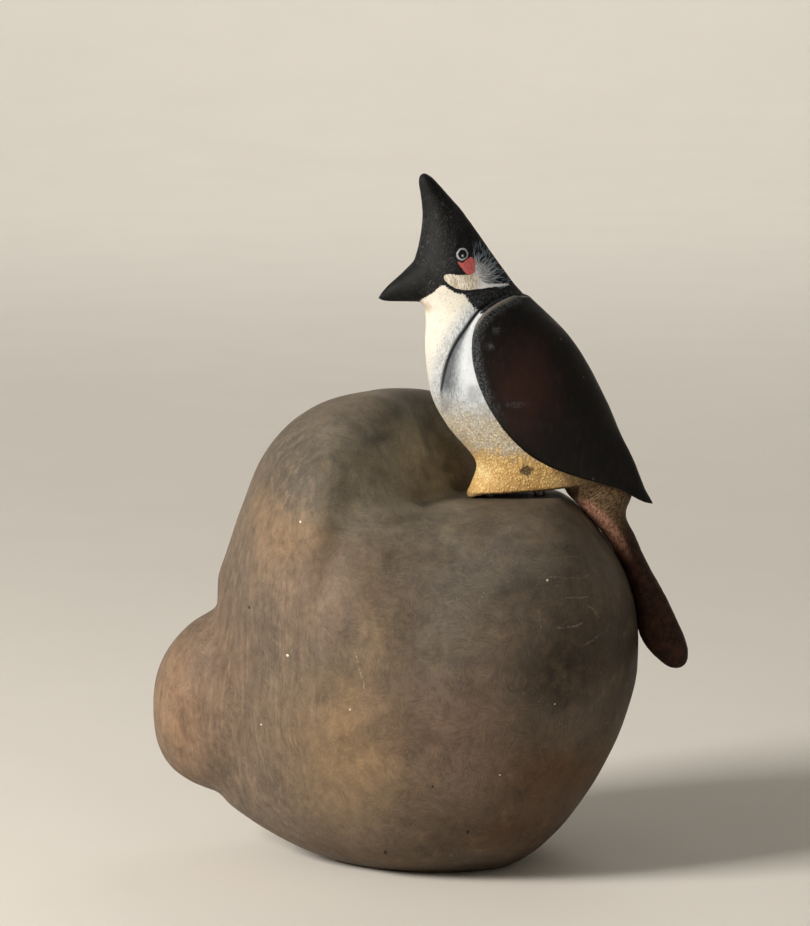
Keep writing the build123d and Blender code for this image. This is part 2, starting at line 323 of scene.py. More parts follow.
class Paint:
    """A procedural material, built up in small steps."""

    def __init__(self, name, **constants):
        self.material = bpy.data.materials.new(name)
        self.material.use_nodes = True
        self.tree = self.material.node_tree
        self.tree.nodes.clear()
        output = self.add("ShaderNodeOutputMaterial")
        self.shader = self.add("ShaderNodeBsdfPrincipled")
        self.tree.links.new(self.shader.outputs["BSDF"], output.inputs["Surface"])
        self.connect(self.shader, **constants)
        coordinates = self.add("ShaderNodeTexCoord")
        scale = self.add("ShaderNodeVectorMath", coordinates.outputs["Object"], operation="SCALE")
        self.spot = self.connect(scale, Scale=1 / MM).outputs[0]
        parts = self.add("ShaderNodeSeparateXYZ", self.spot)
        self.x, self.y, self.z = parts.outputs

    def add(self, kind, *inputs, **settings):
        """A node with its settings, then its first inputs, each a socket or a constant."""
        node = self.tree.nodes.new(kind)
        for name, value in settings.items():
            setattr(node, name, value)
        for socket, value in zip(node.inputs, inputs):
            self.feed(socket, value)
        return node

    def feed(self, socket, value):
        """Links a socket to a value, or sets it."""
        if isinstance(value, bpy.types.NodeSocket):
            self.tree.links.new(value, socket)
        else:
            socket.default_value = value

    def connect(self, node, **values):
        """Feeds a node's sockets by name, with _ for a space."""
        for name, value in values.items():
            self.feed(node.inputs[name.replace("_", " ")], value)
        return node

    def math(self, operation, *values, clamp=False):
        return self.add("ShaderNodeMath", *values, operation=operation, use_clamp=clamp).outputs[0]

    def times(self, *values):
        return reduce(partial(self.math, "MULTIPLY"), values)

    def plus(self, *values):
        return reduce(partial(self.math, "ADD"), values)

    def largest(self, *values):
        return reduce(partial(self.math, "MAXIMUM"), values)

    def swing(self, noise, reach):
        """A noise centred on one half, moved to swing about zero by this much."""
        return self.times(self.math("SUBTRACT", noise, 0.5), reach)

    def band(self, value, low, high, bottom=0.0, top=1.0):
        """A smooth rise from bottom to top as value goes from low to high."""
        node = self.add(
            "ShaderNodeMapRange", value, low, high, bottom, top, interpolation_type="SMOOTHSTEP"
        )
        return node.outputs[0]

    def mix(self, factor, under, over):
        """One colour over another."""
        node = self.add("ShaderNodeMix", data_type="RGBA", blend_type="MIX")
        self.feed(node.inputs[0], factor)
        self.feed(node.inputs[6], under)
        self.feed(node.inputs[7], over)
        return node.outputs[2]

    def moved(self, stretch=(1, 1, 1), shift=0.0, spot=None):
        """The place on the object, stretched along its axes and shifted."""
        node = self.add(
            "ShaderNodeVectorMath", spot or self.spot, stretch, (shift, shift, shift),
            operation="MULTIPLY_ADD",
        )
        return node.outputs[0]

    def noise(self, size, detail=2.0, rough=0.5, stretch=(1, 1, 1), shift=0.0, spot=None):
        """Fractal noise with lumps of about this size, centred on one half."""
        node = self.add("ShaderNodeTexNoise", normalize=True)
        place = self.moved(stretch, shift, spot)
        self.connect(node, Vector=place, Scale=1 / size, Detail=detail, Roughness=rough)
        return node.outputs[0]

    def warped(self, cell, reach, shift=0.0):
        """The place on the object, swept about by smooth noise."""
        noise = self.add("ShaderNodeTexNoise", self.moved(shift=shift))
        self.connect(noise, Scale=1 / cell, Detail=1.0)
        return self.add(
            "ShaderNodeVectorMath", noise.outputs["Color"], (reach, reach, reach), self.spot,
            operation="MULTIPLY_ADD",
        ).outputs[0]

    def tilted(self, angle):
        """The place on the object, turned about the Y axis."""
        node = self.add("ShaderNodeVectorRotate", self.spot, rotation_type="Y_AXIS")
        return self.connect(node, Angle=angle).outputs[0]

    def grains(self, size, stretch=(1, 1, 1), spot=None):
        """Raised grains: 1 in the middle of each and 0 in the furrows between them."""
        node = self.add("ShaderNodeTexVoronoi", feature="SMOOTH_F1")
        place = self.moved(stretch, 0.0, spot)
        self.connect(node, Vector=place, Scale=1 / size, Smoothness=0.35)
        return self.band(node.outputs["Distance"], 0.62, 0.12)

    def varied(self, colour, *changes):
        """The colour made lighter and darker by pairs of a noise and its strength."""
        factor = 1.0
        for noise, strength in changes:
            factor = self.plus(self.swing(noise, strength), factor)
        node = self.add("ShaderNodeVectorMath", colour, operation="SCALE")
        return self.connect(node, Scale=factor).outputs[0]

    def specks(self, spacing, radius, shift=0.0, stretch=(1, 1, 1)):
        """Small scattered dots: 1 inside them."""
        node = self.add("ShaderNodeTexVoronoi")
        self.connect(node, Vector=self.moved(stretch, shift), Scale=1 / spacing)
        reach = radius / spacing
        return self.band(node.outputs["Distance"], reach, reach * 0.6)

    def attribute(self, name, output="Fac"):
        return self.add("ShaderNodeAttribute", attribute_name=name).outputs[output]

    def from_place(self, place):
        """Sideways and upward distance from a place seen from the side."""
        return self.math("SUBTRACT", self.x, place[0]), self.math("SUBTRACT", self.z, place[1])

    def distance(self, place, wide=1.0, tall=1.0):
        """Distance from a place seen from the side, in units of the width and height."""
        across, up = self.from_place(place)
        across = self.math("DIVIDE", across, wide)
        up = self.math("DIVIDE", up, tall)
        return self.math("SQRT", self.plus(self.times(across, across), self.times(up, up)))

    def scratch(self, start, end, width, spot):
        """A thin mark between two places seen from the side, strongest in its middle."""
        start = Vector((start[0], 0, start[1]))
        run = Vector((end[0], 0, end[1])) - start
        away = self.add("ShaderNodeVectorMath", spot, start, operation="SUBTRACT").outputs[0]
        along = self.add(
            "ShaderNodeVectorMath", away, run / run.length_squared, operation="DOT_PRODUCT"
        ).outputs["Value"]
        along = self.math("ADD", along, 0.0, clamp=True)
        foot = self.connect(self.add("ShaderNodeVectorMath", run, operation="SCALE"), Scale=along)
        off = self.add("ShaderNodeVectorMath", away, foot.outputs[0], operation="DISTANCE")
        return self.band(off.outputs["Value"], width, width * 0.3)

    def finish(self, colour, roughness, height):
        """Colour, roughness and a relief in mm."""
        bump = self.connect(self.add("ShaderNodeBump"), Strength=1.0, Distance=MM, Height=height)
        relief = bump.outputs["Normal"]
        self.connect(self.shader, Base_Color=colour, Roughness=roughness, Normal=relief)
        return self.material


# -------- boulder

BOULDER_BASE = (101, 90, 78)
# Where the stain lies on the side that faces -Y, with painted light and shade laid in among it:
# lighter patches where the lamps leave shade, a darker right side, a painted crease shadow along
# the ledge and beside the foot, and warm painted bounce light low down. x, z, reach along x and z,
# colour, strength
BOULDER_STAIN_AND_PAINTED_LIGHT = (
    (-34, 91, 8, 8, (150, 122, 88), 0.75),
    (-18, 38, 17, 19, (146, 120, 88), 0.85),
    (-12, 70, 5, 17, (138, 116, 90), 0.60),
    (-26, 77, 14, 12, (134, 112, 94), 0.60),
    (8, 44, 16, 16, (118, 94, 80), 0.60),
    (-52, 48, 10, 26, (112, 92, 76), 0.65),
    (-62, 38, 8, 20, (146, 116, 90), 0.75),
    (-32, 108, 13, 10, (78, 75, 67), 0.65),
    (-19, 98, 7, 8, (165, 155, 136), 0.55),
    (-21, 114, 7, 5, (142, 134, 118), 0.50),
    (-4, 106, 17, 12, (144, 136, 116), 0.85),
    (6, 104, 6, 10, (174, 164, 140), 0.80),
    (14, 94, 16, 3.0, (74, 67, 56), 0.50),
    (-10, 112.5, 4.5, 1.6, (46, 46, 40), 0.60),
    (-1, 118, 7, 2.5, (50, 52, 46), 0.70),
    (6.5, 102.4, 2.6, 1.8, (52, 46, 38), 0.75),
    (-2, 94.6, 12, 0.9, (70, 63, 53), 0.45),
    (36, 89, 7, 5, (124, 106, 84), 0.50),
    (20, 84, 26, 8, (104, 99, 90), 0.60),
    (5, 67, 8, 13, (112, 107, 99), 0.55),
    (25, 76, 15, 5, (76, 70, 60), 0.50),
    (38, 57, 14, 9, (44, 36, 25), 0.75),
    (36, 29, 15, 10, (88, 53, 16), 0.65),
    (56, 56, 9, 30, (36, 22, 7), 0.80),
    (22, 14, 22, 9, (68, 40, 12), 0.75),
    (-10, 5, 24, 6, (88, 66, 42), 0.60),
)
BOULDER_SPECKS = (  # x, z, radius
    (-30.7, 93.5, 0.35), (-34.0, 59.5, 0.45), (-18.0, 47.5, 0.3),
    (32.1, 79.5, 0.4), (34.0, 48.5, 0.28), (-41.0, 40.0, 0.25), (20.0, 31.0, 0.25),
)
BOULDER_SCRATCHES = (  # x and z at both ends, width, strength
    (-16.8, 62.2, -15.7, 58.8, 0.26, 0.8), (-15.5, 58.6, -14.4, 53.6, 0.24, 0.7),
    (31.6, 80.0, 43.0, 79.0, 0.18, 0.35), (35.0, 84.4, 42.0, 84.0, 0.16, 0.25),
    (37.0, 75.0, 43.0, 74.4, 0.18, 0.45), (42.7, 72.4, 45.4, 68.6, 0.20, 0.45),
    (35.0, 67.6, 41.0, 67.8, 0.24, 0.55), (41.0, 62.2, 46.4, 64.6, 0.18, 0.45),
    (29.6, 72.0, 30.6, 68.0, 0.18, 0.40), (16.0, 77.0, 14.8, 74.6, 0.22, 0.35),
    (6.0, 74.6, 9.0, 76.0, 0.30, 0.30), (-27.5, 71.0, -22.5, 65.5, 0.16, 0.25),
)
BOULDER_NICKS = (  # x, z, radius
    (12.0, 15.0, 0.5), (-9.0, 8.0, 0.6), (-44.0, 70.0, 0.35), (3.0, 28.0, 0.3),
)
# The painted shade inside the pin holes
PIN_HOLE_SHADE = (26, 18, 13)


def shape_boulder():
    """The boulder, with its lobes melted into each other and its skin a little uneven."""
    plugs = [((x, 0, PIN_HOLE_BOTTOM - 1), (x, 0, seat_height(x) - 0.15), 2.1) for x in PIN_XS]
    form = Form("boulder_visual", ["boulder"], BOULDER_VOXEL, plugs)
    form.points = form.relaxed(3)
    x, y, _ = form.points.T
    near_outline = smoothstep(22, 4, np.abs(y - 8)) * smoothstep(-44, -50, x)
    for rounds in (170, 90):
        form.fill_creases(rounds, 1 - 0.85 * near_outline)
    form.points = form.relaxed(8)
    form.push(boulder_lumps(form) * smoothstep(0.4, 5.0, form.points[:, 2]))
    form.points[:, 2] = np.maximum(form.points[:, 2], 0)
    flatten_seat(form)
    bore_pin_holes(form)
    store_boulder_tones(form)
    form.write()
    return form.piece


def boulder_lumps(form):
    """How far the skin stands out: broad lumps, and the swellings that the carver left."""
    x, y, z = form.points.T
    lumps = 0.42 * form.noise(21, 11) + 0.16 * form.noise(8, 12)
    lumps += 0.035 * form.noise(2.6, 13)
    flank = smoothstep(2, -14, y)  # the side that faces -Y
    ridge = x + 39 - 0.27 * (z - 84)  # down the left lobe, with a groove on its left
    lumps += flank * 0.8 * np.exp(-((ridge / 3.6) ** 2)) * smoothstep(100, 82, z)
    lumps -= flank * 0.7 * np.exp(-(((ridge + 7.5) / 4.0) ** 2)) * smoothstep(96, 78, z)
    lumps += flank * 0.5 * np.exp(-(((x + 9 - 0.05 * (z - 40)) / 7.0) ** 2)) * smoothstep(96, 70, z)
    lumps += 0.45 * smoothstep(42, 52, x) * smoothstep(22, 34, z) * smoothstep(86, 78, z)
    # Beside the tail the skin is even, so that the tail lies along it
    by_tail = smoothstep(46, 50, x) * smoothstep(14, 8, np.abs(y)) * smoothstep(50, 60, z)
    lumps += (smoothstep(84, 76, z) * 0.20 + 0.34 - lumps) * by_tail * smoothstep(92, 88, z)
    return lumps + 0.08


def seat_height(x):
    """Height of the seat at x."""
    return SEAT_HEIGHT + (x - SOLE_FRONT) * SEAT_SLOPE


def flatten_seat(form):
    """Under the foot block the boulder is flat, and round it a hollow rises into the crown."""
    (front, back), side = FOOT_BLOCK
    x, y, z = form.points.T

    # How far outside the block each point lies: the hollow is open towards -Y, and wider there
    opening = 0.75 * np.clip(5 - y, 0, 13)
    along = np.maximum(np.maximum(0.8 * (front - x - opening), x - back), 0)
    across = np.maximum(np.where(y > 0, y - side, 0.12 * (-y - side)), 0)
    outside = np.hypot(along, across)

    # What stands above a slope that steepens away from the block sinks softly to it
    level = seat_height(x) - SEAT_DROP
    slope = level + 0.5 * np.maximum(outside - 0.4, 0) ** 1.7
    soft = 0.3 + 0.45 * np.minimum(outside, 8)
    lowered = z - soft * np.logaddexp(0, (z - slope) / soft)
    form.points[:, 2] = np.where(z > SEAT_HEIGHT - 4, lowered, z)

    # The hollow's floor and then its lip are smoothed, each in a ring with soft edges
    for start, full, fading, end, rounds in ((0.2, 1.5, 5, 10, 25), (4, 8, 13, 20, 80)):
        ring = smoothstep(start, full, outside) * smoothstep(end, fading, outside)
        ring *= z > SEAT_HEIGHT - 2
        form.points += ring[:, None] * (form.relaxed(rounds) - form.points)

    # The seat itself is flat, and close to it nothing stands above the slope
    x, y, z = form.points.T
    on_seat = (z > level - 1.2) & (outside < 0.3) & (np.abs(y) < side + 0.3) & (x < SEAT_END)
    form.points[:, 2] = np.where(on_seat, level, np.where(outside < 2.5, np.minimum(z, slope), z))


def bore_pin_holes(form):
    """The two blind holes, cut clean through the finished surface."""
    form.write()
    drills = bmesh.new()
    for x in PIN_XS:
        top = (x, 0, SEAT_HEIGHT + 4)
        add_rod(drills, (x, 0, PIN_HOLE_BOTTOM), top, PIN_HOLE_RADIUS, segments=48)
    mesh = bpy.data.meshes.new("drills")
    drills.to_mesh(mesh)
    drills.free()
    drill = bpy.data.objects.new("drills", mesh)
    SCENE.collection.objects.link(drill)
    cut = form.piece.modifiers.new("holes", "BOOLEAN")
    cut.operation = "DIFFERENCE"
    cut.solver = "EXACT"
    cut.object = drill
    form.apply()
    bpy.data.objects.remove(drill)


def laid_over(colours, tone, weight):
    """The colours with a tone over them, by a weight for each point."""
    return colours + weight[:, None] * (np.array(paint(*tone)[:3]) - colours)


def store_boulder_tones(form):
    """The broad, cloudy changes of stain, with painted light and shade among them, as a colour for
    each point.
    """
    x, y, z = form.points.T
    x = x + 3.5 * form.noise(13, 21)
    z = z + 3.5 * form.noise(13, 22)
    facing = smoothstep(30, 0, y)
    colours = np.tile(np.array(paint(*BOULDER_BASE)[:3]), (len(x), 1))
    for cx, cz, wide, tall, tone, strength in BOULDER_STAIN_AND_PAINTED_LIGHT:
        near = np.exp(-(((x - cx) / wide) ** 2 + ((z - cz) / tall) ** 2))
        colours = laid_over(colours, tone, near * strength * facing)
    behind = 1 - facing
    warm = smoothstep(-0.1, 0.6, form.noise(30, 23)) * behind
    cold = smoothstep(0.0, 0.6, form.noise(24, 24)) * behind
    colours = laid_over(colours, (128, 104, 80), 0.6 * warm)
    colours = laid_over(colours, (76, 72, 64), 0.6 * cold)
    # Painted shade low down, where the boulder meets the floor
    colours *= (1 - 0.45 * smoothstep(9, 0, z + 2 * form.noise(9, 25)))[:, None]
    # The walls of the pin holes are coloured as painted shade
    from_pins = [np.hypot(form.points[:, 0] - pin, form.points[:, 1]) for pin in PIN_XS]
    in_hole = (np.min(from_pins, axis=0) < PIN_HOLE_RADIUS + 0.05) & (z > PIN_HOLE_BOTTOM - 4)
    colours[in_hole] = paint(*PIN_HOLE_SHADE)[:3]
    form.store_colour("tone", colours)


def boulder_paint():
    """Waxed, stained wood: cloudy brown and grey, brushed in short strokes, and worn, over the
    painted light and shade in its tones.
    """
    p = Paint("boulder_stain_and_painted_light", Specular_IOR_Level=0.18)
    swept = p.warped(10, 8)
    upright = p.noise(0.38, 2, 0.65, stretch=(1, 1, 0.15), spot=swept)
    level = p.noise(0.38, 2, 0.65, stretch=(0.15, 1, 1), shift=3, spot=swept)
    left = p.band(p.x, -16, -34)
    turn = p.times(p.band(p.noise(9, 1, shift=8), 0.44, 0.56), p.math("SUBTRACT", 1.0, left))
    strokes = p.mix(turn, upright, level)
    cloud = p.noise(12, 3, 0.55)
    mottle = p.noise(3.0, 3, 0.6, shift=5, spot=swept)
    streak = p.noise(1.7, 3, 0.6, stretch=(1, 1, 0.10), shift=7, spot=p.warped(14, 3, 4))
    # The stain, with painted light and shade among it
    colour = p.attribute("tone", "Color")
    dim = p.times(p.band(cloud, 0.46, 0.66, 0, 0.35), p.band(left, 0, 1, 1.0, 0.45))
    colour = p.mix(dim, colour, paint(62, 57, 50))
    browner = p.band(p.noise(6, 3, 0.6, shift=31), 0.5, 0.72, 0, 0.25)
    colour = p.mix(browner, colour, paint(128, 108, 84))
    colour = p.mix(p.times(left, p.band(streak, 0.5, 0.68, 0, 0.40)), colour, paint(140, 118, 98))
    colour = p.mix(p.times(left, p.band(streak, 0.48, 0.32, 0, 0.35)), colour, paint(84, 68, 58))
    colour = p.varied(colour, (strokes, 0.95), (mottle, 0.85), (p.noise(0.3, 2, 0.6, shift=9), 0.5))
    colour, scratches, nicks = boulder_marks(p, colour)
    roughness = p.band(p.plus(p.times(cloud, 0.6), p.times(mottle, 0.4)), 0.3, 0.7, 0.52, 0.68)
    height = p.plus(p.times(strokes, 0.035), p.times(mottle, 0.10), p.times(nicks, -0.12))
    return p.finish(colour, roughness, p.plus(height, p.times(scratches, -0.03)))


def boulder_marks(p, colour):
    """Old scratches, fine rubbed hairs, pale dots and dark nicks over the stain."""
    bent = p.moved((1, 0, 1), spot=p.warped(4.0, 1.6, 11))
    near = p.band(p.y, 4, -4)
    worn = p.band(p.noise(0.7, 2, 0.6, shift=5), 0.42, 0.56)
    scratches = 0.0
    for x1, z1, x2, z2, width, strength in BOULDER_SCRATCHES:
        scratch = p.scratch((x1 + 0.8, z1 + 0.8), (x2 + 0.8, z2 + 0.8), 1.3 * width, bent)
        scratches = p.largest(scratches, p.times(scratch, 0.7 * strength))
    scratches = p.times(scratches, near, worn)
    colour = p.mix(scratches, colour, paint(176, 164, 146))
    hair = p.noise(2.4, 2, 0.55, stretch=(1, 1, 0.6), shift=50, spot=bent)
    hair = p.band(p.math("ABSOLUTE", p.math("SUBTRACT", hair, 0.5)), 0.010, 0.003)
    rubbed = p.band(p.noise(7, 2, shift=51), 0.48, 0.62)
    colour = p.mix(p.times(hair, rubbed, worn, 0.22), colour, paint(160, 150, 134))
    dots = p.times(p.specks(23, 0.24, shift=9), 0.45)
    for x, z, radius in BOULDER_SPECKS:
        dots = p.largest(dots, p.times(near, p.band(p.distance((x, z)), radius, radius * 0.4)))
    colour = p.mix(dots, colour, paint(236, 226, 204))
    nicks = p.times(p.specks(13, 0.26, shift=40), 0.6)
    for x, z, radius in BOULDER_NICKS:
        nick = p.band(p.distance((x, z), 1, 1.6), radius, radius * 0.5)
        nicks = p.largest(nicks, p.times(near, nick))
    return p.mix(p.times(nicks, 0.8), colour, paint(26, 22, 20)), scratches, nicks


# -------- bird's carving


def shape_bird():
    """The carving and the tail, shaped as one skin and split again at their seam."""
    plugs = [((x, 0, sole_height(x) + 0.5), (x, 0, sole_height(x) + 9), 2.0) for x in PIN_XS]
    form = Form("bird_carving", ["bird_body", "tail"], BIRD_VOXEL, [*plugs, TENON_PLUG])
    form.points = form.relaxed(3)
    form.fill_creases(26)
    form.points = form.relaxed(4)
    heights, arc_fields = cut_arc(form.side_view())
    add_bird_relief(form, heights)
    form.push(heights)
    x, _, z = form.points.T
    form.points[:, 2] -= TOE_DROP * smoothstep(17.5, 12.0, x) * smoothstep(103, 96.5, z)
    store_bird_fields(form, arc_fields)
    form.write()
    return split_at_seam(form.piece)


def cut_arc(flat):
    """The relief of the carved arc, and the fields that the paint needs along it."""
    arc_gap, arc_side, arc_along = line_distance(flat, smooth_line(ARC))
    arc = arc_gap * arc_side
    wing_gap, _, _ = line_distance(flat, smooth_line(WING_EDGE))
    fade = smoothstep(0.0, 0.12, arc_along) * smoothstep(1.0, 0.62, arc_along)
    ramp = np.minimum(1.9, 0.25 + 0.6 * wing_gap)
    cut = np.where(arc < 0, smoothstep(-0.45, 0, arc), smoothstep(ramp + 0.3, 0, arc))
    return -0.75 * fade * cut, {"arc": arc, "arc_fade": fade, "wing_gap": wing_gap}


def add_bird_relief(form, heights):
    """Adds lumps, the foot's stipple, the belly's grain, the proud eye and the knot."""
    x, y, z = form.points.T
    heights += 0.10 * form.noise(6.5, 31) + 0.05 * form.noise(2.4, 32)
    foot = smoothstep(109, 103.5, z) * smoothstep(52, 40, x)
    turned = np.stack([0.8 * x + 0.6 * z, y, 0.35 * (0.8 * z - 0.6 * x)], axis=1)
    stipple = lattice_noise(turned, 0.95, 33)
    heights += foot * 0.13 * stipple
    belly = smoothstep(124, 114, z) * (1 - foot)
    heights += belly * 0.05 * form.noise(0.9, 34)
    eye = np.hypot(x - EYE[0], z - EYE[1])
    heights += 0.16 * smoothstep(1.5, 1.0, eye) - 0.10 * np.exp(-(((eye - 1.75) / 0.3) ** 2))
    knot = np.hypot((x - KNOT[0]) / 1.1, z - KNOT[1])
    heights -= 0.16 * smoothstep(1.7, 0.6, knot)
    # The tail's inner side, so that no light shows between it and the boulder
    inner = smoothstep(0.0, -0.5, form.normals()[:, 0]) * smoothstep(46, 50, x)
    fuller = 0.12 + 0.18 * smoothstep(85, 78, z)
    heights += inner * smoothstep(58, 64, z) * smoothstep(92, 88, z) * fuller
    # The sole stays flat
    heights[(z < sole_height(x) + 0.25) & (x < 38)] = 0


def store_bird_fields(form, arc_fields):
    """Distances to the painted lines and outlines, seen from the side."""
    flat = form.side_view()
    for name, values in arc_fields.items():
        form.store(name, values)
    form.store("light", region_distance(flat, LIGHT, rounded=False))
    form.store("pink", line_distance(flat, smooth_line(PINK_BAND))[0])
    form.store("cheek", region_distance(flat, CHEEK))
    form.store("rouge", region_distance(flat, ROUGE))
    form.store("cheek_line", line_distance(flat, smooth_line(CHEEK_LINE))[0])


def sole_height(x):
    """Height of the foot block's underside at x."""
    return SOLE_HEIGHT + (x - SOLE_FRONT) * SOLE_SLOPE


def split_at_seam(whole):
    """The carving and the tail as two closed pieces that meet along the seam."""
    origin = Vector((SEAM_START[0], 0, SEAM_START[1])) * MM
    run = Vector((math.cos(SEAM_FALL), 0, -math.sin(SEAM_FALL)))
    rise = Vector((math.sin(SEAM_FALL), 0, math.cos(SEAM_FALL)))
    tail = whole.copy()
    tail.name = "tail_visual"
    tail.data = whole.data.copy()
    SCENE.collection.objects.link(tail)
    for piece, is_tail in ((whole, False), (tail, True)):
        skin = bmesh.new()
        skin.from_mesh(piece.data)
        beyond = [f for f in skin.faces if (f.calc_center_median() - origin) @ run > 0]
        parts = {part for face in beyond for part in (*face.verts, *face.edges, face)}
        bmesh.ops.bisect_plane(
            skin, geom=list(parts), dist=1e-8, plane_co=origin, plane_no=rise
        )
        dropped = []
        for face in skin.faces:
            away = face.calc_center_median() - origin
            below = away @ run > 0 and away @ rise < 0
            if below != is_tail:
                dropped.append(face)
        bmesh.ops.delete(skin, geom=dropped, context="FACES")
        rim = {vert for edge in skin.edges if edge.is_boundary for vert in edge.verts}
        bmesh.ops.remove_doubles(skin, verts=list(rim), dist=0.01 * MM)
        rim = [edge for edge in skin.edges if edge.is_boundary]
        for edge in rim:
            edge.smooth = False
        cap = bmesh.ops.holes_fill(skin, edges=rim)["faces"]
        bmesh.ops.poke(skin, faces=cap)
        bmesh.ops.triangulate(skin, faces=[face for face in skin.faces if len(face.verts) > 4])
        skin.to_mesh(piece.data)
        skin.free()
        piece.data.validate()
    return whole, tail


def breast_colours(p):
    """The pale front: cream, cooler towards the arc, then grainy beige and a gold foot, with a
    painted highlight on the toe and a painted shadow along the sole.
    """
    fine = p.noise(0.5, 3, 0.7)
    coarse = p.noise(2.6, 3, 0.6, shift=5)
    grains = p.grains(0.62, (1, 1, 0.7), p.tilted(0.6))
    arc = p.attribute("arc")
    low = p.plus(p.z, p.swing(coarse, 9))
    colour = p.mix(p.band(arc, -6, 0.5, 0, 0.8), paint(230, 224, 210), paint(188, 198, 208))
    colour = p.mix(p.band(coarse, 0.5, 0.72, 0, 0.3), colour, paint(216, 200, 172))
    streaks = p.noise(0.42, 3, 0.7, stretch=(1, 1, 0.35), shift=17)
    flecks = p.times(p.band(fine, 0.53, 0.70), p.band(arc, -7, 0, 0.3, 0.6))
    colour = p.mix(flecks, colour, paint(116, 114, 112))
    veil = p.times(p.band(arc, -4.5, -0.2), p.band(streaks, 0.42, 0.62), 0.65)
    colour = p.mix(veil, colour, paint(118, 130, 140))
    belly = p.mix(p.band(fine, 0.42, 0.62), paint(232, 218, 188), paint(172, 158, 132))
    belly = p.mix(p.band(grains, 0.55, 0.1, 0, 0.35), belly, paint(128, 112, 90))
    belly = p.mix(p.band(coarse, 0.48, 0.66, 0, 0.4), belly, paint(206, 202, 192))
    colour = p.mix(p.band(low, 125, 112, 0, 0.94), colour, belly)
    gold = p.mix(p.band(coarse, 0.4, 0.62), paint(246, 210, 138), paint(226, 184, 116))
    # A painted highlight on the upper front of the toe, where the lamp falls
    pale = p.plus(p.distance((16.0, 102.5), 3.6, 3.0), p.times(coarse, 1.2))
    gold = p.mix(p.band(pale, 2.0, 0.8, 0, 0.6), gold, paint(252, 230, 172))
    gold = p.mix(p.band(grains, 0.6, 0.1, 0, 0.45), gold, paint(158, 114, 62))
    gold = p.varied(gold, (fine, 0.6))
    gold = p.mix(p.band(p.x, 30, 40, 0, 0.5), gold, paint(190, 156, 116))
    colour = p.mix(p.band(low, 111.0, 105.0, 0, 0.96), colour, gold)
    # A painted shadow along the bottom of the foot block, for the gap under the sole
    sole_shadow = p.plus(p.z, p.times(p.x, -SOLE_SLOPE), SOLE_FRONT * SOLE_SLOPE - SOLE_HEIGHT)
    sole_shadow = p.plus(sole_shadow, p.swing(fine, 0.6))
    sole_shadow = p.times(p.band(sole_shadow, 0.95, 0.35), p.band(p.x, 12, 16, 0.3, 0.9))
    colour = p.mix(sole_shadow, colour, paint(58, 38, 28))
    hair = p.noise(0.4, 3, 0.7, stretch=(0.3, 1, 1), shift=9, spot=p.tilted(0.5))
    rump = p.mix(p.band(hair, 0.4, 0.6), paint(128, 106, 78), paint(72, 54, 38))
    back = p.plus(p.x, p.swing(coarse, 10))
    colour = p.mix(p.band(back, 33, 44, 0, 0.96), colour, rump)
    return colour, fine, coarse, grains


def tail_colours(p, colour, coarse):
    """Dark reddish brown down the tail, with a worn pink band from its root."""
    hair = p.noise(0.5, 3, 0.7, stretch=(1, 1, 0.4), shift=3)
    dark = p.mix(p.band(coarse, 0.4, 0.65), paint(40, 23, 15), paint(60, 36, 25))
    dark = p.mix(p.times(p.band(hair, 0.5, 0.7), 0.3), dark, paint(96, 66, 48))
    dark = p.mix(p.times(p.band(hair, 0.46, 0.3), 0.5), dark, paint(22, 14, 11))
    behind = p.plus(p.times(p.x, 0.9), p.times(p.z, -0.43), p.times(coarse, 4))
    colour = p.mix(p.band(behind, 7.0, 15.0), colour, dark)
    pink = p.plus(p.attribute("pink"), p.swing(hair, 1.6))
    pink = p.times(p.band(pink, 2.7, 0.9), p.band(p.z, 77, 86), p.band(p.z, 97, 93.5))
    worn_pink = p.mix(p.band(hair, 0.4, 0.6), paint(196, 146, 124), paint(134, 92, 74))
    return p.mix(p.times(pink, 0.8), colour, worn_pink)


def arc_colours(p, colour, coarse):
    """A dark painted line along the arc, painted shade in the groove beside it, and from there out
    to bright white at the wing.
    """
    arc = p.attribute("arc")
    wing_gap = p.attribute("wing_gap")
    fade = p.attribute("arc_fade")
    share = p.math("DIVIDE", arc, p.plus(arc, wing_gap, 0.05))
    upper = p.band(p.plus(p.z, p.times(coarse, 6)), 120, 131)
    white = p.times(p.band(share, 0.25, 0.75), p.band(arc, 0, 0.4), upper)
    colour = p.mix(p.times(white, 0.85), colour, paint(236, 242, 248))
    # Painted shade in the carved groove, dark beside the line and fading out towards the white
    painted_groove_shade = p.times(p.band(share, 0.62, 0.12), p.band(arc, -0.12, 0.1), p.band(fade, 0.0, 0.7))
    colour = p.mix(p.times(painted_groove_shade, 0.82), colour, paint(52, 54, 58))
    line = p.times(p.band(p.math("ABSOLUTE", arc), 0.42, 0.12), p.band(fade, 0.02, 0.5))
    colour = p.mix(p.times(line, 0.9), colour, paint(34, 34, 36))
    smudge = p.band(p.plus(p.distance((6.6, 121.0), 2.2, 4.2), p.times(coarse, 0.8)), 1.45, 0.7)
    colour = p.mix(p.times(smudge, 0.5), colour, paint(120, 118, 114))
    below = p.plus(p.distance((13.5, 124.0), 2.6, 3.2), p.times(coarse, 0.8))
    return p.mix(p.band(below, 1.5, 0.7, 0, 0.4), colour, paint(104, 110, 112))


